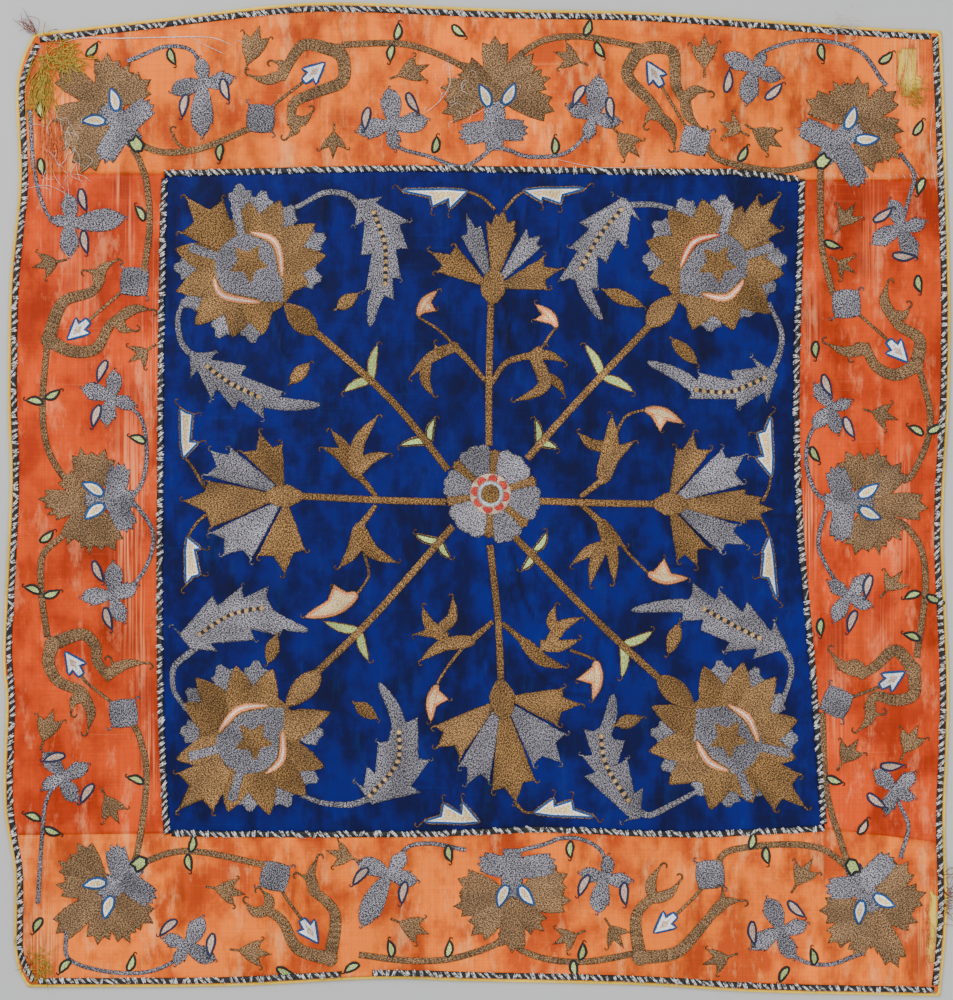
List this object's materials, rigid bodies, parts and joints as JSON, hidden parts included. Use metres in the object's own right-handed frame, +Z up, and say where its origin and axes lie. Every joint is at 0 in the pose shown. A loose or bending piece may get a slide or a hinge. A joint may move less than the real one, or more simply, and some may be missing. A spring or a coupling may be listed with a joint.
{
  "type": "embroidered wrapping cloth",
  "caption": "Square lined silk wrapping cloth, laid flat: a blue panel in orange border strips with cords over the seams, worked with flowers, leaves and vines in couched metal thread",
  "frame": {"origin": "middle of the cloth's outline, on the underside of its lining", "axes": "+Z up out of the embroidered face, +Y towards its top edge, +X towards its right edge"},
  "size_m": [0.9472, 0.9932, 0.0063],
  "materials": {
    "lining": "plain weave, soft sheen",
    "blue_silk": "silk with a soft sheen along the warp",
    "orange_silk": "satin silk, worn to pale streaks",
    "red_silk": "satin silk, worn to pale streaks",
    "gold": "couched gilt thread, dulled",
    "silver": "couched silver thread, dulled",
    "cord": "black and silver twisted cord"
  },
  "bodies": {
    "root": {"blossom_eye_north_east": "silver", "blossom_eye_north_west": "silver", "blossom_eye_south_east": "silver", "blossom_eye_south_west": "silver", "border_bottom": "orange_silk", "border_left": "red_silk", "border_right": "red_silk", "border_top": "orange_silk", "centre_panel": "blue_silk", "inner_cord_bottom": "cord", "inner_cord_left": "cord", "inner_cord_right": "cord", "inner_cord_top": "cord", "leaf_north_east_a": "silver", "leaf_north_east_b": "silver", "leaf_north_west_a": "silver", "leaf_north_west_b": "silver", "leaf_south_east_a": "silver", "leaf_south_east_b": "silver", "leaf_south_west_a": "silver", "leaf_south_west_b": "silver", "lining": "lining", "orchid_east_a": "silver", "orchid_east_b": "silver", "orchid_north_a": "silver", "orchid_north_b": "silver", "orchid_north_east_a": "silver", "orchid_north_east_b": "silver", "orchid_north_west_a": "silver", "orchid_north_west_b": "silver", "orchid_south_a": "silver", "orchid_south_b": "silver", "orchid_south_east_a": "silver", "orchid_south_east_b": "silver", "orchid_south_west_a": "silver", "orchid_south_west_b": "silver", "orchid_west_a": "silver", "orchid_west_b": "silver", "outer_cord_bottom_left": "cord", "outer_cord_bottom_right": "cord", "outer_cord_left": "cord", "outer_cord_right": "cord", "outer_cord_top": "cord", "palmette_east": "gold", "palmette_north": "gold", "palmette_north_east": "gold", "palmette_north_west": "gold", "palmette_south": "gold", "palmette_south_east": "gold", "palmette_south_west": "gold", "palmette_west": "gold", "rosette": "silver", "spray_east": "gold", "spray_north": "gold", "spray_north_east": "gold", "spray_north_west": "gold", "spray_south": "gold", "spray_south_east": "gold", "spray_south_west": "gold", "spray_west": "gold"}
  },
  "joints": []
}
